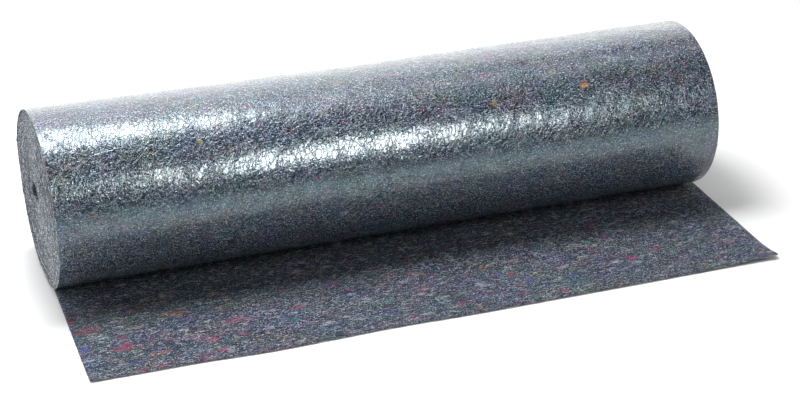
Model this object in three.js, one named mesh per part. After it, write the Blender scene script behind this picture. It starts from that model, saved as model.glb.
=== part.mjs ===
// A roll of painter's covering felt lying on its side, with its loose end pulled out flat in front.
// It is one web: needled felt of mixed reclaimed fibres with a thin clear film on its outer face.
// X runs along the roll, Y away from the loose end, +Z up, in millimetres. The origin is on the
// surface it lies on, under the roll's axis, halfway across the web.
import * as THREE from 'three';
import { LoftGeometry } from 'three/addons/geometries/LoftGeometry.js';

// The web
const WEB_WIDTH = 1000;
const WEB_THICK = 2;
const WEB_EDGE = WEB_WIDTH / 2;

// The wound form: a spiral of one web thickness a turn, pressed a little flat by its own weight
const ROLL_RADIUS = 126;
const FOOT_SINK = 2;
const AXIS_HEIGHT = ROLL_RADIUS - FOOT_SINK;
const CLEARANCE = 0.3;
const TURN_STEPS = 58;
// The last turn hangs a little slack low on the rear, where it leaves the floor
const SLACK = { turn: 0.13, halfTurn: 0.12, out: 5 };

// The hole left in the middle, where no core was wound in: low, wide and off the axis
const HOLE = { y: 20, z: AXIS_HEIGHT + 5, halfWide: 15, halfHigh: 11, tilt: 0.25, bend: 2 };

// The roll's two ends. The wound web is drawn a little narrow by its tension, and the left end
// leans. `outward` is the way that end faces; `relief` is how far its main turns stand out.
const ENDS = {
  left: { outward: -1, at: -505, lean: -0.042, proud: 1.2, relief: 1.3 },
  right: { outward: 1, at: 488, lean: 0, proud: 1, relief: 1.6 },
};
const RIDGES = 9;
const SETTLE_TURN = 0.3;

// Unevenness of the wound form: height of each wave, waves across the web, waves round, phase
const WAVES = [
  { height: 0.8, across: 1, around: 0, phase: -1.57 },
  { height: 0.45, across: 1.5, around: 2, phase: 0.4 },
  { height: 0.35, across: 3.5, around: 1, phase: 2.1 },
  { height: 0.25, across: 6.0, around: 3, phase: 4.4 },
];
const SIDE_STATIONS = 20;
const HOLE_STATIONS = 5;

// The loose end's cut front edge, from left to right: place across the web, and reach to the front
const FRONT_EDGE = [
  { x: -500, reach: 292 },
  { x: -370, reach: 293 },
  { x: -250, reach: 298 },
  { x: -90, reach: 295 },
  { x: 60, reach: 298 },
  { x: 280, reach: 298 },
  { x: 500, reach: 299 },
];
// Its front right corner curls up past a slanting line; the front left one barely lifts
const CURLS = [
  { fromX: 245, fromY: -300, toX: 500, toY: -222, ramp: 86, lift: 11 },
  { fromX: -500, fromY: -262, toX: -440, toY: -302, ramp: 45, lift: 1.5 },
];
// Low waves where it hasn't settled: height, middle, half length across the web and front to back
const RIPPLES = [
  { height: 1.4, x: -250, y: -215, halfX: 190, halfY: 60 },
  { height: 1.8, x: 130, y: -150, halfX: 240, halfY: 50 },
  { height: 1.2, x: 360, y: -95, halfX: 110, halfY: 40 },
];
const SHEET_ACROSS = 32;
const SHEET_DEEP = 12;

const FULL_TURN = 2 * Math.PI;
const FOOT_HALF = Math.sqrt(ROLL_RADIUS ** 2 - AXIS_HEIGHT ** 2);
const LAP_TOP = WEB_THICK + CLEARANCE;
const LAP_HALF = Math.sqrt((ROLL_RADIUS - WEB_THICK) ** 2 - (AXIS_HEIGHT - LAP_TOP) ** 2);

const feltMaterial = (name, color) =>
  new THREE.MeshStandardMaterial({ name, color, roughness: 0.9, metalness: 0 });

const mix = (a, b, share) => a + (b - a) * share;
const ease = (share) => THREE.MathUtils.smoothstep(share, 0, 1);

// Places round the last turn, as shares of a turn from straight below the axis: from the front
// of the flat foot, up the rear, over the top and down the front to the loose end
const turnStart = -Math.asin(FOOT_HALF / ROLL_RADIUS) / FULL_TURN;
const turnEnd = 1 - Math.asin(LAP_HALF / (ROLL_RADIUS - WEB_THICK)) / FULL_TURN;
const turnShares = Array.from({ length: TURN_STEPS + 1 }, (_, i) =>
  mix(turnStart, turnEnd, i / TURN_STEPS));

function swell(x, turn) {
  const awayFromFoot = Math.sin(Math.PI * THREE.MathUtils.clamp(turn, 0, 1)) ** 2;
  const waves = WAVES.reduce((sum, { height, across, around, phase }) =>
    sum + height * Math.sin(FULL_TURN * (across * x / WEB_WIDTH + around * turn) + phase), 0);
  return awayFromFoot * waves;
}

// The outline in Y and Z at one place round it, `layers` webs in from the outermost radius, and
// cut level by the floor, or by the web where that lies under it
function outlinePoint(x, turn, layers) {
  const slack = SLACK.out * ease(1 - Math.abs(turn - SLACK.turn) / SLACK.halfTurn);
  const radius = ROLL_RADIUS - WEB_THICK * layers + swell(x, turn) + slack;
  const angle = turn * FULL_TURN;
  const under = layers < 0.5 ? 0 : LAP_TOP;
  return {
    y: radius * Math.sin(angle),
    z: Math.max(AXIS_HEIGHT - radius * Math.cos(angle), under),
  };
}

// The hole's outline, a tilted oval
function holePoint(x, turn, layers) {
  const angle = turn * FULL_TURN;
  const inset = WEB_THICK * layers;
  const wide = (HOLE.halfWide - inset) * Math.sin(angle);
  const high = (HOLE.halfHigh - inset) * -Math.cos(angle);
  const drift = HOLE.bend * Math.sin(Math.PI * x / WEB_WIDTH);
  return {
    y: HOLE.y + drift + wide * Math.cos(HOLE.tilt) - high * Math.sin(HOLE.tilt),
    z: HOLE.z + wide * Math.sin(HOLE.tilt) + high * Math.cos(HOLE.tilt),
  };
}

// One closed ring of the roll's surface: depth 0 is the outer turn, 1 is the hole's wall, and
// placeX says where each of its points stands along the roll. A spiral ring has a step of one
// layer where the web's end lies; a round one, inside an end face, has none.
function ring(depth, placeX, isSpiral = true) {
  const points = turnShares.map((turn) => {
    const x = placeX(turn);
    const layers = isSpiral ? turn : 1;
    const outer = outlinePoint(x, turn, layers);
    const inner = holePoint(x, turn, layers);
    const y = mix(outer.y, inner.y, depth);
    const z = mix(outer.z, inner.z, depth);
    return new THREE.Vector3(x, y, z);
  });
  const lap = points.at(-1);
  const step = new THREE.Vector3(lap.x, points[0].y, lap.z);
  return [...points, step];
}

// Where an end's faces stand: the plain lean of the end, and the last turn, which leaves the
// loose end's own edge at the foot, stands a little proud, and comes back level with the others
function leaningEnd(end, turn) {
  return end.at + end.lean * ROLL_RADIUS * Math.sin(turn * FULL_TURN);
}
function lastTurnEdge(end, turn) {
  const proud = end.proud * ease((1 - turn) / SETTLE_TURN);
  const wound = leaningEnd(end, turn) + end.outward * proud;
  return mix(end.outward * WEB_EDGE, wound, ease(turn / SETTLE_TURN));
}

// The rings of one end, from the outer turn to the hole: the last turn's edge, a drop behind it,
// then ridges where groups of turns stand out
function endRings(end) {
  const lastTurnDepth = WEB_THICK / (ROLL_RADIUS - HOLE.halfWide);
  const drop = lastTurnDepth + CLEARANCE / ROLL_RADIUS;
  const rings = [
    ring(0, (turn) => lastTurnEdge(end, turn)),
    ring(lastTurnDepth, (turn) => lastTurnEdge(end, turn)),
  ];
  for (let i = 0; i <= 2 * RIDGES; i++) {
    const depth = mix(drop, 1, i / (2 * RIDGES));
    const crest = i % 2 ? 1 : -1;
    const relief = end.relief * (0.65 + 0.35 * Math.sin(2.4 * i));
    const isSpiral = i === 0 || i === 2 * RIDGES;
    rings.push(ring(depth, (turn) => leaningEnd(end, turn)
      + end.outward * crest * relief * (0.8 + 0.2 * Math.sin(FULL_TURN * turn + i)), isSpiral));
  }
  return rings;
}

function between(first, last, steps) {
  return Array.from({ length: steps - 1 }, (_, i) => {
    const share = (i + 1) / steps;
    return first.map((point, j) => point.clone().lerp(last[j], share));
  });
}

function woundRoll() {
  const left = endRings(ENDS.left);
  const right = endRings(ENDS.right);
  const side = Array.from({ length: SIDE_STATIONS - 1 }, (_, i) => {
    const share = (i + 1) / SIDE_STATIONS;
    return ring(0, (turn) =>
      mix(lastTurnEdge(ENDS.left, turn), lastTurnEdge(ENDS.right, turn), share));
  });
  const bore = between(right.at(-1), left.at(-1), HOLE_STATIONS);
  const rings = [left[0], ...side, ...right, ...bore, ...left.toReversed()];
  return new LoftGeometry(rings);
}

// How far the loose end's front edge reaches at one place across the web
function frontReach(x) {
  const next = Math.max(1, FRONT_EDGE.findIndex((row) => row.x >= x));
  const [a, b] = [FRONT_EDGE[next - 1], FRONT_EDGE[next]];
  return mix(a.reach, b.reach, ease((x - a.x) / (b.x - a.x)));
}

// How far the loose end stands off the floor: low ripples, and its curled corners
function liftAt(x, y) {
  const ripple = RIPPLES.reduce((sum, row) => {
    const away = Math.hypot((x - row.x) / row.halfX, (y - row.y) / row.halfY);
    return sum + row.height * ease(1 - Math.min(away, 1));
  }, 0);
  const curl = CURLS.reduce((sum, row) => {
    const along = new THREE.Vector2(row.toX - row.fromX, row.toY - row.fromY).normalize();
    const past = along.y * (x - row.fromX) - along.x * (y - row.fromY);
    return sum + row.lift * ease(Math.max(past, 0) / row.ramp);
  }, 0);
  return ripple + curl;
}

// A sheet's section drawn together on its middle line, which closes a side edge
function midLine(section) {
  return section.map((point, i) => point.clone().lerp(section.at(-1 - i), 0.5));
}

function looseEnd() {
  const rear = -FOOT_HALF - CLEARANCE;
  const sections = Array.from({ length: SHEET_ACROSS + 1 }, (_, i) => {
    const x = mix(-WEB_EDGE, WEB_EDGE, i / SHEET_ACROSS);
    const row = Array.from({ length: SHEET_DEEP + 1 }, (_, j) => {
      const y = mix(rear, -frontReach(x), j / SHEET_DEEP);
      return new THREE.Vector3(x, y, liftAt(x, y));
    });
    const top = row.map((point) => point.clone().setZ(point.z + WEB_THICK));
    return [...top, ...row.reverse()];
  });
  return new LoftGeometry([midLine(sections[0]), ...sections, midLine(sections.at(-1))]);
}

const pieces = [
  { name: 'wound_roll', geometry: woundRoll(), material: feltMaterial('filmed_felt', 0x6b7783) },
  { name: 'loose_end', geometry: looseEnd(), material: feltMaterial('needled_felt', 0x4d5661) },
];

const feltRoll = new THREE.Group();
for (const { name, geometry, material } of pieces) {
  const mesh = new THREE.Mesh(geometry, material);
  mesh.name = name;
  feltRoll.add(mesh);
}

export default feltRoll;
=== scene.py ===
import math

import bmesh
import bpy
import numpy as np
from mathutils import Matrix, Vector, noise


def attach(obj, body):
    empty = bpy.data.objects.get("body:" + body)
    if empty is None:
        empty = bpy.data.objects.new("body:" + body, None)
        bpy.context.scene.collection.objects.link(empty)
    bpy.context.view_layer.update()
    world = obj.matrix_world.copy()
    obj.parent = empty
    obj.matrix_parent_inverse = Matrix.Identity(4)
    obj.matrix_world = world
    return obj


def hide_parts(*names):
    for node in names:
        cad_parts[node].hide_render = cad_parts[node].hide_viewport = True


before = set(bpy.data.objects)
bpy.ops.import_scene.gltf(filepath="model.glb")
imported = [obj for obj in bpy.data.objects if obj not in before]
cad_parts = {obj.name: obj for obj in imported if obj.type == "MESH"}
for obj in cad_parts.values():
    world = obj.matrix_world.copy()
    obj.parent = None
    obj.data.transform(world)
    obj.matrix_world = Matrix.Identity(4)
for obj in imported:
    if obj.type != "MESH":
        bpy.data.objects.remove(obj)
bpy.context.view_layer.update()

scene = bpy.context.scene


# ---- Camera ------------------------------------------------------------------------------------
# A long lens, a little left of the roll's left end and 2.7 m from its middle, looking down on it
# at 27 degrees and 20 degrees round to the right.
lens_mm = 82.65
eye = (-0.8005, -2.3054, 1.2735)
look_down, look_right = math.radians(27.04), math.radians(19.75)

camera_data = bpy.data.cameras.new("camera")
camera_data.lens = lens_mm
camera_data.sensor_width = 36.0
camera = bpy.data.objects.new("camera", camera_data)
camera.location = eye
camera.rotation_euler = (math.radians(90) - look_down, 0.0, -look_right)
scene.collection.objects.link(camera)
scene.camera = camera


# ---- Needled felt ------------------------------------------------------------------------------
# The felt is torn rags of every colour, carded so that most fibres lie across the web, and
# needled into a mat. The eye sees grey-blue streaks with pale and navy fibres and tufts of colour.
def linear(hex_colour):
    """The linear colour of an sRGB hex value."""
    parts = [int(hex_colour[i:i + 2], 16) / 255 for i in (0, 2, 4)]
    return [c / 12.92 if c <= 0.04045 else ((c + 0.055) / 1.055) ** 2.4 for c in parts] + [1.0]


def add_node(tree, kind, inputs, out=None, stops=(), **settings):
    """Add a shader node with its settings and ramp stops, set or link its inputs by identifier,
    and return one of its outputs."""
    node = tree.nodes.new("ShaderNode" + kind)
    for name, value in settings.items():
        setattr(node, name, value)
    for index, (position, hex_colour) in enumerate(stops):
        elements = node.color_ramp.elements
        element = elements[index] if index < len(elements) else elements.new(position)
        element.position, element.color = position, linear(hex_colour)
    for name, value in inputs.items():
        socket = next(s for s in node.inputs if s.identifier == name)
        if isinstance(value, bpy.types.NodeSocket):
            tree.links.new(value, socket)
        else:
            socket.default_value = value
    return node.outputs[out] if out else next(s for s in node.outputs if s.enabled)


def new_material(name):
    """A new material, its node tree and its shader."""
    material = bpy.data.materials.new(name)
    material.use_nodes = True
    return material, material.node_tree, material.node_tree.nodes["Principled BSDF"]


tuft_stops = [  # rag tufts, from the most common colour to the rarest
    (0.0, "10131e"), (0.24, "1c2238"), (0.30, "c2c6ce"), (0.44, "b4b4c2"), (0.50, "7a4a5c"),
    (0.60, "2f6a72"), (0.70, "5a6a78"), (0.75, "8a8460"), (0.82, "9c7454"), (0.88, "5450a0"),
    (0.93, "a83c60"),
]


def rag_fibres(tree, place, tones, streak, tuft_amount):
    """The colour of the felt at a place in metres, and its height. Real fibres are 0.03 mm
    thick, so they're drawn in bundles of 1 to 2 mm, the finest that the eye makes out."""
    # One layer of streaks along the fibres' lie and two that cross it, all bent, and flecks of
    # short fibres between them.
    wander = add_node(tree, "TexNoise", {"Vector": place, "Scale": 45.0, "Detail": 2.0}, "Color")
    bent = add_node(tree, "VectorMath", {"Vector": wander, "Vector_001": (0.014, 0.007, 0.007),
                                         "Vector_002": place}, operation="MULTIPLY_ADD")
    layers = []
    for length, width, turn in [(streak, 0.0021, 0.0), (streak * 0.7, 0.0018, 0.4),
                                (streak * 0.7, 0.0018, -0.35)]:
        across = add_node(tree, "Mapping", {"Vector": bent, "Rotation": (0.0, 0.0, turn),
                                            "Scale": (length, width, width)},
                          vector_type="TEXTURE")
        layers.append(add_node(tree, "TexNoise", {"Vector": across, "Scale": 1.0, "Detail": 3.0,
                                                  "Roughness": 0.75}, "Fac"))
    crossed = add_node(tree, "Mix", {"Factor_Float": 0.5, "A_Float": layers[1],
                                     "B_Float": layers[2]})
    matted = add_node(tree, "Mix", {"Factor_Float": 0.5, "A_Float": layers[0],
                                    "B_Float": crossed})
    flecks = add_node(tree, "TexNoise", {"Vector": place, "Scale": 520.0, "Detail": 2.0,
                                         "Roughness": 0.7}, "Fac")
    matted = add_node(tree, "Mix", {"Factor_Float": 0.42, "A_Float": matted, "B_Float": flecks})
    tone = add_node(tree, "ValToRGB", {"Fac": matted}, stops=tones)
    # Rags of different shades, carded into long blurred patches.
    shade_place = add_node(tree, "Mapping", {"Vector": place, "Scale": (0.070, 0.034, 0.034)},
                           vector_type="TEXTURE")
    shade = add_node(tree, "TexNoise", {"Vector": shade_place, "Scale": 1.0, "Detail": 5.0,
                                        "Roughness": 0.72}, "Color")
    shade = add_node(tree, "MapRange", {"Vector": shade, "From_Min_FLOAT3": (0.36,) * 3,
                                        "From_Max_FLOAT3": (0.64,) * 3,
                                        "To_Min_FLOAT3": (0.80, 0.85, 0.84),
                                        "To_Max_FLOAT3": (1.20, 1.15, 1.18)},
                     data_type="FLOAT_VECTOR")
    shaded = add_node(tree, "Mix", {"Factor_Float": 1.0, "A_Color": tone, "B_Color": shade},
                      data_type="RGBA", blend_type="MULTIPLY")
    # Small tufts of bright rag anywhere, each a stretched cell with a ragged edge.
    ragged = add_node(tree, "TexNoise", {"Vector": bent, "Scale": 260.0, "Detail": 3.0,
                                         "Roughness": 0.75}, "Color")
    ragged = add_node(tree, "VectorMath", {"Vector": ragged, "Vector_001": (0.014, 0.008, 0.008),
                                           "Vector_002": place}, operation="MULTIPLY_ADD")
    tuft_place = add_node(tree, "Mapping", {"Vector": ragged, "Scale": (0.013, 0.006, 0.006)},
                          vector_type="TEXTURE")
    tuft = add_node(tree, "TexVoronoi", {"Vector": tuft_place, "Scale": 1.0}, "Color")
    picks = add_node(tree, "SeparateXYZ", {"Vector": tuft}, "X").node
    chosen = add_node(tree, "MapRange", {"Value": picks.outputs["X"], "From Min": 0.68,
                                         "From Max": 1.0, "To Min": 0.0, "To Max": tuft_amount})
    fibrous = add_node(tree, "MapRange", {"Value": layers[0], "From Min": 0.36, "From Max": 0.60})
    amount = add_node(tree, "Math", {"Value": chosen, "Value_001": fibrous}, operation="MULTIPLY")
    tuft_colour = add_node(tree, "ValToRGB", {"Fac": picks.outputs["Y"]}, stops=tuft_stops)
    tufted = add_node(tree, "Mix", {"Factor_Float": amount, "A_Color": shaded,
                                    "B_Color": tuft_colour}, data_type="RGBA")
    # The larger tufts, painted where they lie on the piece.
    painted = add_node(tree, "Attribute", {}, "Color", attribute_name="tuft").node
    patchy = add_node(tree, "MapRange", {"Value": layers[0], "From Min": 0.41, "From Max": 0.52})
    share = add_node(tree, "Math", {"Value": painted.outputs["Alpha"], "Value_001": patchy},
                     operation="MULTIPLY")
    painted = add_node(tree, "Mix", {"Factor_Float": share, "A_Color": tufted,
                                     "B_Color": painted.outputs["Color"]}, data_type="RGBA")
    return painted, matted


def paint_tufts(mesh, tufts, places):
    """Store the colour and strength of the tufts at each vertex. A tuft is its place on the
    piece, its length and width, and its colour. It's full in the middle and fades to its edge."""
    strongest, fade = 0.72, 1.5
    painted = np.zeros((len(places), 4))
    for x, y, length, width, colour in tufts:
        away = np.hypot((places[:, 0] - x) / length, (places[:, 1] - y) / width) * 2
        strength = strongest * np.clip(fade - fade * away, 0, 1)
        nearer = strength > painted[:, 3]
        painted[nearer, :3] = linear(colour)[:3]
        painted[nearer, 3] = strength[nearer]
    attribute = mesh.attributes.new("tuft", "FLOAT_COLOR", "POINT")
    attribute.data.foreach_set("color", painted.ravel())


# The felt's bare face: matted fibres, dull, with a little sheen where they stand up.
felt_tones = [(0.41, "050916"), (0.46, "1a2232"), (0.5, "394252"), (0.54, "606874"),
              (0.60, "ccd3dc")]
felt, tree, shader = new_material("needled_rag_felt")
place = add_node(tree, "TexCoord", {}, "Object")
colour, height = rag_fibres(tree, place, felt_tones, 0.008, 0.7)
tree.links.new(colour, shader.inputs["Base Color"])
bump = add_node(tree, "Bump", {"Height": height, "Distance": 0.004, "Strength": 0.6})
tree.links.new(bump, shader.inputs["Normal"])
shader.inputs["Roughness"].default_value = 0.95
shader.inputs["Specular IOR Level"].default_value = 0.2
shader.inputs["Sheen Weight"].default_value = 0.08
shader.inputs["Sheen Roughness"].default_value = 0.5

# The same felt where a knife has cut it: the fibres' pale ends, in streaks along the cut.
cut_tones = [(0.42, "0c0f14"), (0.46, "3a4048"), (0.5, "6e757c"), (0.54, "959ba1"),
             (0.59, "dce0e2")]
cut_felt, tree, shader = new_material("cut_rag_felt")
web_place = add_node(tree, "Attribute", {}, "Vector", attribute_name="web")
along = add_node(tree, "SeparateXYZ", {"Vector": web_place}, "X").node
along = add_node(tree, "CombineXYZ", {"X": along.outputs["Y"], "Y": along.outputs["Z"],
                                      "Z": along.outputs["X"]})
colour, height = rag_fibres(tree, along, cut_tones, 0.012, 0.22)
tree.links.new(colour, shader.inputs["Base Color"])
bump = add_node(tree, "Bump", {"Height": height, "Distance": 0.003, "Strength": 0.6})
tree.links.new(bump, shader.inputs["Normal"])
shader.inputs["Roughness"].default_value = 0.9
shader.inputs["Specular IOR Level"].default_value = 0.25


# ---- Film on felt ------------------------------------------------------------------------------
# Clear polyethylene film, 0.04 mm thick, laminated to the felt's outer face. Wound, it creases
# into a fine net of sharp ridges, so that it mirrors a light as ragged flecks.
film_tones = [(0.42, "080b12"), (0.465, "1e242d"), (0.5, "3a424e"), (0.535, "5e6876"),
              (0.59, "c0c8d4")]
film, tree, shader = new_material("polyethylene_film_on_felt")
web_place = add_node(tree, "Attribute", {}, "Vector", attribute_name="web")
colour, _ = rag_fibres(tree, web_place, film_tones, 0.005, 0.4)
tree.links.new(colour, shader.inputs["Base Color"])
# Two nets of creases, one coarse and one fine: ridges along the edges of crumpled cells, whose
# faces tilt. They're deeper where the film is slack.
wander = add_node(tree, "TexNoise", {"Vector": web_place, "Scale": 160.0, "Detail": 3.0,
                                     "Roughness": 0.6}, "Color")
crumpled = add_node(tree, "VectorMath", {"Vector": wander, "Vector_001": (0.009, 0.009, 0.0),
                                         "Vector_002": web_place}, operation="MULTIPLY_ADD")
slack = add_node(tree, "TexNoise", {"Vector": web_place, "Scale": 45.0, "Detail": 1.0}, "Fac")
slack = add_node(tree, "MapRange", {"Value": slack, "From Min": 0.38, "From Max": 0.62,
                                    "To Min": 0.6, "To Max": 1.6})
net = 0.0
nets = [  # size of a cell, turn, width of a ridge as a share of it, its depth, the faces' tilt
    ((0.0060, 0.0120, 0.01), 0.32, 0.13, 0.00024, 0.010),
    ((0.0030, 0.0062, 0.01), -0.10, 0.22, 0.00007, 0.009),
]
for size, turn, width, depth, tilt in nets:
    crease_place = add_node(tree, "Mapping", {"Vector": crumpled, "Rotation": (0.0, 0.0, turn),
                                              "Scale": size}, vector_type="TEXTURE")
    away = add_node(tree, "TexVoronoi", {"Vector": crease_place, "Scale": 1.0}, "Distance",
                    feature="DISTANCE_TO_EDGE")
    crease = add_node(tree, "MapRange", {"Value": away, "From Max": width, "To Max": depth},
                      interpolation_type="SMOOTHSTEP")
    crease = add_node(tree, "Math", {"Value": crease, "Value_001": slack}, operation="MULTIPLY")
    cone = add_node(tree, "TexVoronoi", {"Vector": crease_place, "Scale": 1.0}, "Distance")
    crease = add_node(tree, "Math", {"Value": cone, "Value_001": size[0] * tilt,
                                     "Value_002": crease}, operation="MULTIPLY_ADD")
    net = add_node(tree, "Math", {"Value": crease, "Value_001": net})
# Near the roll's ends the film is pulled into longer creases that run round it.
pulled_place = add_node(tree, "Mapping", {"Vector": crumpled, "Rotation": (0.0, 0.0, 0.3),
                                          "Scale": (0.012, 0.070, 0.01)}, vector_type="TEXTURE")
pulled = add_node(tree, "TexNoise", {"Vector": pulled_place, "Scale": 1.0, "Detail": 1.0}, "Fac")
pulled = add_node(tree, "Math", {"Value": pulled, "Value_001": 0.5}, operation="SUBTRACT")
pulled = add_node(tree, "Math", {"Value": pulled}, operation="ABSOLUTE")
pulled = add_node(tree, "MapRange", {"Value": pulled, "From Max": 0.045, "To Min": 0.00022,
                                     "To Max": 0.0}, interpolation_type="SMOOTHSTEP")
end_near = add_node(tree, "SeparateXYZ", {"Vector": web_place}, "X")
end_near = add_node(tree, "Math", {"Value": end_near}, operation="ABSOLUTE")
end_near = add_node(tree, "MapRange", {"Value": end_near, "From Min": 0.36, "From Max": 0.48})
net = add_node(tree, "Math", {"Value": pulled, "Value_001": end_near, "Value_002": net},
               operation="MULTIPLY_ADD")
outer_face = add_node(tree, "Bump", {"Height": net, "Distance": 1.0, "Strength": 1.0})
tree.links.new(outer_face, shader.inputs["Coat Normal"])
# The film's outer face mirrors light sharply, and its inner face, stuck to the felt, mirrors it
# again, less sharply and bluer.
tree.links.new(outer_face, shader.inputs["Normal"])
shader.inputs["Roughness"].default_value = 0.2
shader.inputs["Specular IOR Level"].default_value = 0.5
shader.inputs["Specular Tint"].default_value = (0.4, 0.82, 1.0, 1.0)
shader.inputs["Coat Weight"].default_value = 1.0
shader.inputs["Coat Roughness"].default_value = 0.08
shader.inputs["Coat IOR"].default_value = 1.75


# ---- The last turn -----------------------------------------------------------------------------
# The outside of the roll: one turn of the web, felt 2 mm thick with a clear film laminated to its
# outer face. It leaves the floor slack at the rear, goes over the top and down the front. It is a
# grid bent round the roll, closed into a thin strip with rounded cut edges.
web_thick = 0.002
web_edge = 0.5
roll_radius = 0.126
foot_pressed = 0.002
axis_height = roll_radius - foot_pressed
turns_in_roll = 56.5
foot_turn = math.asin(math.sqrt(roll_radius**2 - axis_height**2) / roll_radius) / math.tau
hole_y, hole_z = 0.0267, axis_height + 0.0027
hole_wide, hole_high, hole_tilt = 0.0145, 0.0225, 1.07
hole_lobes = [(0.20, 2, 0.9), (0.16, 3, 2.0)]  # share of its size, lobes round it, phase
end_faces = {  # x on the axis, lean from front to rear and at the top, last turn, main ridges
    -1: {"at": -0.505, "lean": -0.042, "top": 0.0, "proud": 0.0012, "relief": 0.0013},
    1: {"at": 0.488, "lean": 0.0, "top": -0.005, "proud": 0.001, "relief": 0.0016},
}
settle_turn = 0.3  # turns in which the web's edge moves to the roll's end face
ridge_count = 9
cut_jitter = 0.0006
slack_turn, slack_half, slack_out = 0.13, 0.12, 0.005  # where the last turn hangs slack
waves = [  # height, waves across the web, waves round the roll, phase
    (0.0024, 0.0, 0, 1.57),
    (0.0008, 1.0, 0, -1.57),
    (0.00045, 1.5, 2, 0.4),
    (0.00035, 3.5, 1, 2.1),
    (0.00025, 6.0, 3, 4.4),
]


def ease(share):
    """A share from 0 to 1, slow at both ends."""
    share = np.clip(share, 0.0, 1.0)
    return share * share * (3 - 2 * share)


def wound_place(x, wound, depth, proud):
    """Y and Z of a point x across the web, `wound` turns in from the roll's foot and `depth`
    layers under the outer face of the turn that's there."""
    turn = np.clip(wound, 0.0, 1.0)
    swell = sum(h * np.sin(math.tau * (across * x + round_ * wound) + phase)
                for h, across, round_, phase in waves)
    swell = swell * np.where(wound < 1, np.sin(math.pi * turn) ** 2, 0.5)
    slack = slack_out * ease(1 - np.abs(wound - slack_turn) / slack_half)
    radius = roll_radius + swell + slack + proud
    angle = math.tau * wound
    outer_y = radius * np.sin(angle)
    outer_z = np.maximum(axis_height - radius * np.cos(angle), 0.0)
    wobble = 1 + sum(share * np.sin(lobes * angle + phase) for share, lobes, phase in hole_lobes)
    wide, high = hole_wide * wobble * np.sin(angle), -hole_high * wobble * np.cos(angle)
    inner_y = hole_y + wide * math.cos(hole_tilt) - high * math.sin(hole_tilt)
    inner_z = hole_z + wide * math.sin(hole_tilt) + high * math.cos(hole_tilt)
    share = (wound + depth) / turns_in_roll
    return outer_y + (inner_y - outer_y) * share, outer_z + (inner_z - outer_z) * share


def web_length(wound):
    """Metres of web between the roll's foot and a place `wound` turns in."""
    return math.tau * (roll_radius * wound
                       - (roll_radius - hole_high) * wound**2 / (2 * turns_in_roll))


def end_place(side, wound):
    """X of the web's cut edge at one end of the roll. The last turn stands a little proud, and
    the others lie in uneven ridges, each turn a little in or out."""
    face = end_faces[side]
    leaning = face["lean"] * roll_radius * np.sin(math.tau * wound)
    leaning = leaning + face["top"] * np.sin(math.pi * wound)**2
    leaning = face["at"] + leaning * (1 - wound / turns_in_roll)
    proud = face["proud"] * ease((1 - wound) / settle_turn)
    start = ease(wound / settle_turn)
    last = side * web_edge * (1 - start) + (leaning + side * proud) * start
    ridge = np.maximum(wound - 1, 0) / (turns_in_roll - 1) * 2 * ridge_count
    relief = face["relief"] * (0.65 + 0.35 * np.sin(2.4 * ridge))
    wander = 0.8 + 0.2 * np.sin(math.tau * wound + ridge)
    inner = leaning - side * np.cos(math.pi * ridge) * relief * wander
    jitter = np.array([noise.noise(Vector((1.3 * w, 5.0 * side, 0.0))) for w in wound.ravel()])
    jitter = side * cut_jitter * jitter.reshape(wound.shape) * ease((wound - 1) / 0.2)
    return np.where(wound < 1, last, inner) + jitter


wrinkles = [  # height, size across the web and along it, and where its noise is taken
    (0.00020, 0.011, 0.045, 0.0),
    (0.00025, 0.030, 0.060, 7.0),
]
wrinkle_slant = 0.25


def film_wrinkles(x, lengthwise):
    """Height of the wrinkles that run round the roll in the film, 10 mm apart and more."""
    heights = [sum(height * noise.noise(Vector((u / across, v / along, seed)))
                   for height, across, along, seed in wrinkles)
               for u, v in zip(x + wrinkle_slant * lengthwise, lengthwise)]
    return np.array(heights)


def wound_strip(name, first, last, rows, columns):
    """A closed strip of web wound from `first` to `last` turns. Each column is its share of the
    way across the web, its depth in layers, how far it stands out past the cut edge, and the
    finish of the strip from there to the next column."""
    strip = bmesh.new()
    bmesh.ops.create_grid(strip, x_segments=len(columns), y_segments=rows, size=0.5)
    mesh = bpy.data.meshes.new(name)
    strip.to_mesh(mesh)
    grid = np.empty(len(mesh.vertices) * 3)
    mesh.vertices.foreach_get("co", grid)
    grid = grid.reshape(-1, 3) + 0.5
    column = np.array(columns + columns[:1])
    across, depth, out, _ = column[np.rint(grid[:, 0] * len(columns)).astype(int)].T
    wound = first + grid[:, 1] * (last - first)
    left, right = end_place(-1, wound), end_place(1, wound)
    x = left + (right - left) * across + np.where(across < 0.5, -out, out)
    wrinkled = np.zeros(len(x))
    on_film = (depth == 0) & (wound < 1)
    wrinkled[on_film] = film_wrinkles(x[on_film], web_length(wound[on_film]))
    y, z = wound_place(x, wound, depth, wrinkled)
    mesh.vertices.foreach_set("co", np.stack([x, y, z], axis=1).ravel())
    web = mesh.attributes.new("web", "FLOAT_VECTOR", "POINT")
    web_place = np.stack([x, web_length(wound), depth * web_thick], axis=1)
    web.data.foreach_set("vector", web_place.ravel())
    corners = np.empty(len(mesh.loops), dtype=int)
    mesh.loops.foreach_get("vertex_index", corners)
    middle = grid[corners, 0].reshape(-1, 4).mean(axis=1)
    finish = column[np.floor(middle * len(columns)).astype(int), 3]
    mesh.polygons.foreach_set("material_index", finish.astype(int))
    for material in (felt, cut_felt, film):
        mesh.materials.append(material)
    strip.clear()
    strip.from_mesh(mesh)
    bmesh.ops.remove_doubles(strip, verts=strip.verts, dist=1e-6)
    open_edges = [edge for edge in strip.edges if edge.is_boundary]
    bmesh.ops.holes_fill(strip, edges=open_edges, sides=0)
    bmesh.ops.recalc_face_normals(strip, faces=strip.faces)
    strip.to_mesh(mesh)
    strip.free()
    mesh.shade_smooth()
    piece = bpy.data.objects.new(name, mesh)
    scene.collection.objects.link(piece)
    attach(piece, "root")
    return piece


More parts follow.
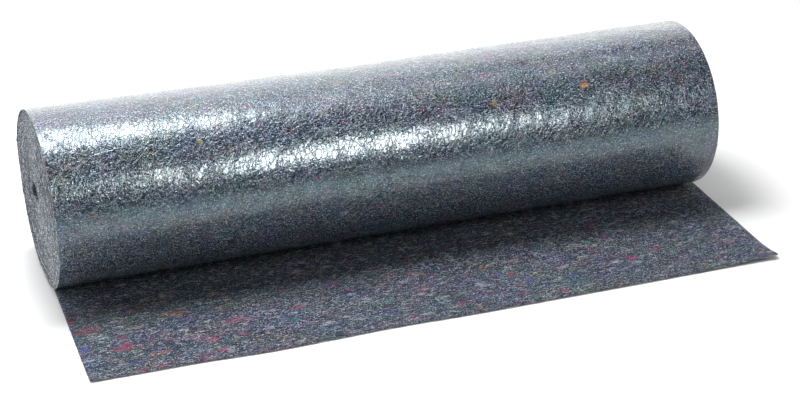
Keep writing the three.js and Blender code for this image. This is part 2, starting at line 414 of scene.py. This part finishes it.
# The strip's outline across the web: the film face, the bulging right edge, the felt face and
# the left edge, with its corners drawn in.
felt_finish, cut_finish, film_finish = 0, 1, 2
drawn_in, bulging = -0.00015, 0.00025
film_shares = [0.0, 0.0006, *np.linspace(0.0025, 0.9975, 309), 0.9994, 1.0]
columns = [(share, 0.0, drawn_in, film_finish) for share in film_shares]
columns[-1] = (1.0, 0.0, drawn_in, cut_finish)
edge_rows = [(0.3, bulging), (0.65, bulging), (0.93, drawn_in)]
columns += [(1.0, *row, cut_finish) for row in edge_rows[:-1]]
columns += [(share, *edge_rows[-1], felt_finish) for share in np.linspace(1, 0, 25)]
columns[-1] = (0.0, *edge_rows[-1], cut_finish)
columns += [(0.0, *row, cut_finish) for row in edge_rows[-2::-1]]
last_turn_end = 1.05
last_turn = wound_strip("last_turn", -foot_turn, last_turn_end, 252, columns)
film_tufts = [  # across the web, degrees round from straight behind, length, width, colour
    (-0.292, 131, 0.012, 0.009, "c8d060"), (0.281, 131, 0.018, 0.014, "d8a030"),
    (0.138, 134, 0.014, 0.011, "c09838"), (0.242, 118, 0.015, 0.010, "b8a070"),
    (0.134, 112, 0.012, 0.008, "a83c7c"), (0.055, 185, 0.014, 0.008, "b06a3a"),
    (-0.451, 167, 0.010, 0.008, "c07840"), (0.337, 159, 0.014, 0.008, "8c6450"),
    (0.465, 83, 0.016, 0.012, "b8c860"),
]
web_places = np.empty(len(last_turn.data.vertices) * 3)
last_turn.data.attributes["web"].data.foreach_get("vector", web_places)
degree = math.radians(1) * roll_radius
film_tufts = [(x, (turned + 90) * degree, *rest) for x, turned, *rest in film_tufts]
paint_tufts(last_turn.data, film_tufts, web_places.reshape(-1, 3))
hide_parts("wound_roll")


# ---- The inner turns ---------------------------------------------------------------------------
# The rest of the wound web, which shows as the turns' cut edges on both ends and as the wall of
# the hole. One strip, wound on from where the last turn leaves off to its inner end in the hole.
columns = [(0.0, 0.0, drawn_in, cut_finish)]
columns += [(0.0, *row, cut_finish) for row in edge_rows]
columns[-1] = (0.0, *edge_rows[-1], felt_finish)
columns += [(1.0, *row, cut_finish) for row in edge_rows[::-1]]
columns += [(1.0, 0.0, drawn_in, film_finish)]
inner_end = turns_in_roll - 0.35
inner_rows = 64 * round(inner_end - last_turn_end)
inner_turns = wound_strip("inner_turns", last_turn_end, inner_end, inner_rows, columns)
# No large tuft lies on it, but a mesh without the attribute would read as painted all over.
paint_tufts(inner_turns.data, [], np.zeros((len(inner_turns.data.vertices), 3)))
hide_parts("wound_roll")


# ---- The loose end -----------------------------------------------------------------------------
# The end of the same web, pulled out flat with its felt face up and its film face on the floor.
# It is a grid with the cut edge's outline, given the web's thickness, then its felt face is
# roughened. Its cut edges are ragged, and the front right corner curls up.
front_edge = [  # place across the web, reach to the front
    (-0.5, 0.292), (-0.37, 0.293), (-0.25, 0.298), (-0.09, 0.295),
    (0.06, 0.298), (0.28, 0.298), (0.5, 0.297),
]
curls = [  # a slanting line from one point to another, the ramp past it, and the lift
    (0.340, -0.300, 0.5, -0.245, 0.080, 0.0074),
    (-0.5, -0.262, -0.44, -0.302, 0.045, 0.0015),
    (-0.5, -0.268, 0.5, -0.272, 0.026, 0.0012),
]
ripples = [  # height, middle x and y, half length in x and y
    (0.0014, -0.250, -0.215, 0.190, 0.060),
    (0.0018, 0.130, -0.150, 0.240, 0.050),
    (0.0012, 0.360, -0.095, 0.110, 0.040),
]
felt_lumps = [  # height, length, width, and where its noise is taken
    (0.00030, 0.014, 0.006, 1.0),
    (0.00035, 0.045, 0.022, 5.0),
]
ragged_cut, ragged_size = 0.0009, 0.025


def front_reach(x):
    """How far in front of the roll's axis the cut front edge is."""
    places, reaches = np.array(front_edge).T
    right = np.clip(np.searchsorted(places, x), 1, len(places) - 1)
    share = ease((x - places[right - 1]) / (places[right] - places[right - 1]))
    return reaches[right - 1] + (reaches[right] - reaches[right - 1]) * share


def lift_at(x, y):
    """How far the film face stands off the floor."""
    lift = np.zeros_like(x)
    for height, mid_x, mid_y, half_x, half_y in ripples:
        away = np.hypot((x - mid_x) / half_x, (y - mid_y) / half_y)
        lift += height * ease(1 - away)
    for from_x, from_y, to_x, to_y, ramp, height in curls:
        run = math.hypot(to_x - from_x, to_y - from_y)
        past = ((to_y - from_y) * (x - from_x) - (to_x - from_x) * (y - from_y)) / run
        lift += height * ease(past / ramp)
    return lift


sheet_rear = -math.sqrt(roll_radius**2 - axis_height**2)
loose = bmesh.new()
bmesh.ops.create_grid(loose, x_segments=400, y_segments=110, size=0.5)
loose_mesh = bpy.data.meshes.new("loose_end")
loose.to_mesh(loose_mesh)
flat = np.empty(len(loose_mesh.vertices) * 3)
loose_mesh.vertices.foreach_get("co", flat)
flat = flat.reshape(-1, 3)
sheet_x = flat[:, 0] * 2 * web_edge
cut_wander = np.array([noise.turbulence(Vector((u / ragged_size, 3.0, 0.0)), 3, False)
                       for u in sheet_x])
reach = front_reach(sheet_x) - ragged_cut * np.abs(cut_wander)
sheet_y = sheet_rear - (0.5 - flat[:, 1]) * (reach + sheet_rear)
sheet_z = lift_at(sheet_x, sheet_y)
loose_mesh.vertices.foreach_set("co", np.stack([sheet_x, sheet_y, sheet_z], axis=1).ravel())
loose.clear()
loose.from_mesh(loose_mesh)
film_face = loose.faces[:]
bmesh.ops.solidify(loose, geom=film_face, thickness=-web_thick)
bmesh.ops.recalc_face_normals(loose, faces=loose.faces)
film_height = lift_at(np.array([v.co.x for v in loose.verts]),
                      np.array([v.co.y for v in loose.verts]))
for vert, under in zip(loose.verts, film_height):
    if vert.co.z - under > web_thick / 2:
        x, y = vert.co.x, vert.co.y
        for height, length, width, seed in felt_lumps:
            vert.co.z += height * noise.noise(Vector((x / length, y / width, seed)))
for face in loose.faces:
    facing_down, cut = face.normal.z < -0.5, abs(face.normal.z) < 0.5
    face.material_index = film_finish if facing_down else cut_finish if cut else felt_finish
loose.to_mesh(loose_mesh)
loose.free()
for material in (felt, cut_felt, film):
    loose_mesh.materials.append(material)
felt_tufts = [  # place across the web, place out from the roll, length, width, colour
    (-0.480, -0.165, 0.050, 0.024, "8c4a5e"), (-0.437, -0.221, 0.020, 0.032, "9c3a5a"),
    (-0.448, -0.226, 0.030, 0.018, "84445c"), (-0.496, -0.131, 0.018, 0.022, "8c2c44"),
    (-0.193, -0.203, 0.018, 0.012, "b03860"), (-0.324, -0.245, 0.022, 0.016, "a03a5c"),
    (-0.318, -0.275, 0.014, 0.012, "c03c80"), (-0.403, -0.284, 0.020, 0.010, "a83858"),
    (-0.430, -0.287, 0.022, 0.010, "984050"), (-0.016, -0.161, 0.020, 0.013, "a04060"),
    (0.117, -0.215, 0.018, 0.012, "b03c60"), (0.131, -0.183, 0.014, 0.010, "a83c5c"),
    (0.191, -0.217, 0.014, 0.010, "a83c5c"), (0.292, -0.156, 0.018, 0.010, "a03a5c"),
    (0.258, -0.180, 0.014, 0.010, "a83c60"), (0.301, -0.228, 0.028, 0.012, "b83c74"),
    (0.344, -0.217, 0.024, 0.010, "a84070"), (0.113, -0.268, 0.018, 0.010, "a83c5c"),
    (0.169, -0.283, 0.018, 0.009, "b03c60"), (-0.053, -0.276, 0.018, 0.009, "a03c58"),
    (-0.283, -0.205, 0.044, 0.022, "9a5c74"), (-0.355, -0.159, 0.048, 0.024, "8c6450"),
    (-0.400, -0.253, 0.036, 0.014, "9c7468"), (0.088, -0.183, 0.018, 0.012, "9c6a40"),
    (-0.003, -0.172, 0.022, 0.012, "8c6c50"), (-0.491, -0.213, 0.018, 0.026, "5448a0"),
    (0.137, -0.238, 0.016, 0.012, "4c58b0"), (0.199, -0.245, 0.016, 0.011, "5458b8"),
    (0.102, -0.204, 0.014, 0.011, "5860b0"), (-0.316, -0.155, 0.020, 0.014, "3c7c80"),
    (-0.208, -0.232, 0.020, 0.011, "4a8c80"), (0.125, -0.285, 0.018, 0.010, "3c8470"),
    (0.187, -0.145, 0.018, 0.012, "3c8480"), (0.143, -0.288, 0.014, 0.009, "48a088"),
    (-0.069, -0.227, 0.018, 0.012, "407c80"), (-0.381, -0.233, 0.018, 0.018, "141828"),
    (-0.374, -0.249, 0.012, 0.014, "10243c"), (-0.340, -0.210, 0.020, 0.012, "1c2030"),
    (-0.438, -0.262, 0.022, 0.016, "24305c"), (-0.272, -0.237, 0.018, 0.012, "1c2234"),
    (-0.146, -0.196, 0.022, 0.014, "1c2030"), (0.017, -0.255, 0.018, 0.012, "20263c"),
    (0.242, -0.245, 0.020, 0.012, "1c2030"),
]
loose_places = np.empty(len(loose_mesh.vertices) * 3)
loose_mesh.vertices.foreach_get("co", loose_places)
paint_tufts(loose_mesh, felt_tufts, loose_places.reshape(-1, 3))
# Its places on the web, for the film and the cut edges, are those on the floor.
loose_mesh.attributes.new("web", "FLOAT_VECTOR", "POINT").data.foreach_set("vector", loose_places)
loose_mesh.shade_smooth()
loose_end = bpy.data.objects.new("loose_end_felt", loose_mesh)
scene.collection.objects.link(loose_end)
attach(loose_end, "root")
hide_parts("loose_end")


# ---- Loose fibres ------------------------------------------------------------------------------
# Fibres that the needles left standing: pale, navy and coloured hairs that lie curled on the
# felt face, stick out of its cut edges, and cross the cut ends of the turns. Real ones are
# finer, so these are 0.35 mm thick to show. Each is a thin tube, many in one mesh.
fibre_radius = 0.000175
fibre_steps = 4
fibre_dyes = [  # colour, share
    ("e4e6ea", 0.24), ("b9bdc6", 0.16), ("f0efec", 0.08), ("8f96a5", 0.13), ("141824", 0.16),
    ("252b42", 0.10), ("8f4a66", 0.04), ("a84a70", 0.015), ("46868c", 0.03), ("5a58a8", 0.015),
    ("9a8a70", 0.02), ("60646e", 0.03),
]
fibre, tree, shader = new_material("loose_rag_fibre")
dyed = add_node(tree, "Attribute", {}, "Color", attribute_name="dye")
tree.links.new(dyed, shader.inputs["Base Color"])
shader.inputs["Roughness"].default_value = 0.65
shader.inputs["Specular IOR Level"].default_value = 0.3
rng = np.random.default_rng(7)


def fibre_tubes(name, paths):
    """One mesh of thin tubes along `paths`, an array of strand, step and place."""
    curve = bpy.data.curves.new(name, "CURVE")
    curve.dimensions = "3D"
    curve.bevel_depth, curve.bevel_resolution, curve.use_fill_caps = fibre_radius, 0, True
    for path in paths:
        spline = curve.splines.new("POLY")
        spline.points.add(fibre_steps - 1)
        spline.points.foreach_set("co", np.append(path, np.ones((fibre_steps, 1)), axis=1).ravel())
    drawn = bpy.data.objects.new(name + "_lines", curve)
    mesh = bpy.data.meshes.new_from_object(drawn)
    bpy.data.objects.remove(drawn)
    dyes = np.array([linear(colour) for colour, _ in fibre_dyes])
    shares = np.array([share for _, share in fibre_dyes])
    picks = rng.choice(len(dyes), size=len(paths), p=shares / shares.sum())
    dye = mesh.attributes.new("dye", "FLOAT_COLOR", "POINT")
    dye.data.foreach_set("color", np.repeat(dyes[picks], len(mesh.vertices) // len(paths),
                                            axis=0).ravel())
    mesh.materials.clear()
    mesh.materials.append(fibre)
    mesh.name = name
    piece = bpy.data.objects.new(name, mesh)
    scene.collection.objects.link(piece)
    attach(piece, "root")
    return piece


def curled(start_x, start_y, heading, length, curl):
    """X and Y of the steps of strands that set off along `heading` and curl."""
    turned = heading[:, None] + curl[:, None] * np.arange(fibre_steps - 1)
    turned = turned + rng.normal(0, 0.22, turned.shape)
    step = (length / (fibre_steps - 1))[:, None]
    x = start_x[:, None] + np.pad(np.cumsum(step * np.cos(turned), axis=1), ((0, 0), (1, 0)))
    y = start_y[:, None] + np.pad(np.cumsum(step * np.sin(turned), axis=1), ((0, 0), (1, 0)))
    return x, y


# On the felt face, mostly along the fibres' lie.
lying = 3600
x, y = curled(rng.uniform(-0.497, 0.487, lying), rng.uniform(-0.292, -0.030, lying),
              rng.normal(0, 0.38, lying), rng.gamma(3.0, 0.0021, lying), rng.normal(0, 0.35, lying))
hump = np.sin(math.pi * np.linspace(0.05, 0.95, fibre_steps)) * rng.uniform(0, 0.0007, (lying, 1))
on_felt = (np.abs(x) < 0.4985).all(axis=1) & (y > 0.0015 - front_reach(x)).all(axis=1)
on_felt &= (y < -0.024).all(axis=1)
lying_height = web_thick + 0.00012
face_paths = np.stack([x, y, lift_at(x, y) + lying_height + hump], axis=2)[on_felt]

# Out of the cut front edge and the two side edges.
fringed = 700
x = rng.uniform(-0.498, 0.498, fringed)
y = 0.0012 - front_reach(x)
x, y = curled(x, y, rng.normal(-math.pi / 2, 0.6, fringed), rng.uniform(0.001, 0.0038, fringed),
              rng.normal(0, 0.4, fringed))
z = lift_at(x, y) + rng.uniform(0.0004, 0.0018, (fringed, 1))
front_paths = np.stack([x, y, z], axis=2)
beside = 500
side = rng.choice([-1.0, 1.0], beside)
x, y = curled(side * 0.4990, rng.uniform(-0.290, -0.03, beside),
              np.where(side > 0, 0, math.pi) + rng.normal(0, 0.6, beside),
              rng.uniform(0.001, 0.0030, beside), rng.normal(0, 0.4, beside))
z = lift_at(x, y) + rng.uniform(0.0004, 0.0018, (beside, 1))
side_paths = np.stack([x, y, z], axis=2)
loose_fibres = fibre_tubes("loose_fibres", np.concatenate([face_paths, front_paths, side_paths]))

# Across the cut ends of the turns, dragged along them by the knife, as many to each area.
crossing = 900
end_paths = []
for side in (-1, 1):
    wound = (turns_in_roll - 1) * (1 - np.sqrt(rng.uniform(0.004, 1, crossing)))
    wound = np.maximum(wound, 0.3)
    turn_length = math.tau * (roll_radius - (roll_radius - hole_high) * wound / turns_in_roll)
    reach = rng.gamma(3.0, 0.0013, crossing) / turn_length
    step = np.linspace(0, 1, fibre_steps)
    wound = wound[:, None] + reach[:, None] * step
    drift = rng.uniform(0, 1, (crossing, 1)) + rng.normal(0, 0.7, (crossing, 1)) * step
    drift = np.maximum(drift + wound, 0.08) - wound
    arched = np.sin(math.pi * (0.1 + 0.8 * step))
    stand = 0.0003 + arched * rng.uniform(0, 0.0012, (crossing, 1))
    x = end_place(side, wound) + side * stand
    y, z = wound_place(x, wound, drift, 0.0)
    end_paths.append(np.stack([x, y, z], axis=2))
fibre_tubes("end_fibres", np.concatenate(end_paths))


# ---- Floor and light ---------------------------------------------------------------------------
# A white studio floor under soft lights: one overhead, a ceiling and a backdrop, and weak ones to
# the left and right. Cards above and in front are seen only in mirrored light, as the bright
# bands along the film. The blue one lies on the floor. The fills aren't seen in mirrored light.
floor_mesh = bpy.data.meshes.new("floor")
floor_shape = bmesh.new()
bmesh.ops.create_grid(floor_shape, x_segments=1, y_segments=1, size=6.0)
floor_shape.to_mesh(floor_mesh)
floor_shape.free()
floor_paint, tree, shader = new_material("white_studio_floor")
shader.inputs["Base Color"].default_value = (0.95, 0.95, 0.95, 1.0)
shader.inputs["Roughness"].default_value = 0.8
floor_mesh.materials.append(floor_paint)
floor = bpy.data.objects.new("floor", floor_mesh)
scene.collection.objects.link(floor)

white, card_blue = (1.0, 1.0, 1.0), (0.3, 0.8, 1.0)
lights = [  # name, place, what it faces, width, height, radiance, colour
    ("overhead_fill", (-0.26, 0.25, 1.65), (-0.16, 0.0, 0.1), 0.66, 0.75, 20.5, white),
    ("overhead_card", (-0.33, 0.19, 1.65), (-0.16, 0.0, 0.1), 0.62, 0.78, 14.0, white),
    ("ceiling", (0.5, 0.7, 2.5), (0.2, 0.1, 0.0), 2.4, 1.2, 1.2, white),
    ("backdrop", (0.0, 3.0, 2.2), (0.0, 0.0, 2.2), 6.0, 4.4, 1.55, white),
    ("left_rear", (-2.0, 0.5, 1.0), (-0.5, 0.0, 0.1), 1.0, 1.0, 6.4, white),
    ("left_fill", (-2.0, -0.9, 0.7), (-0.5, 0.0, 0.1), 0.8, 0.8, 3.6, white),
    ("right_fill", (2.0, -0.9, 0.9), (0.4, -0.1, 0.1), 1.0, 1.0, 3.1, white),
    ("front_floor_card", (0.2, -0.87, 0.004), (0.2, -0.87, 1.0), 2.2, 0.80, 0.65, card_blue),
    ("front_card", (0.52, -1.90, 1.30), (0.0, 0.0, 0.1), 0.80, 0.70, 15.5, white),
]
for name, place, target, width, height, radiance, colour in lights:
    data = bpy.data.lights.new(name, "AREA")
    data.shape = "RECTANGLE"
    data.size, data.size_y = width, height
    data.energy = math.pi * width * height * radiance
    data.color = colour
    lamp = bpy.data.objects.new(name, data)
    lamp.location = place
    towards = Vector(target) - Vector(place)
    lamp.rotation_euler = towards.to_track_quat("-Z", "Y").to_euler()
    lamp.visible_camera = False
    lamp.visible_diffuse = not name.endswith("_card")
    lamp.visible_glossy = not name.endswith("_fill")
    scene.collection.objects.link(lamp)

world = bpy.data.worlds.new("studio")
world.use_nodes = True
world.node_tree.nodes["Background"].inputs["Color"].default_value = (0.04, 0.04, 0.04, 1.0)
scene.world = world
scene.view_settings.view_transform = "Standard"
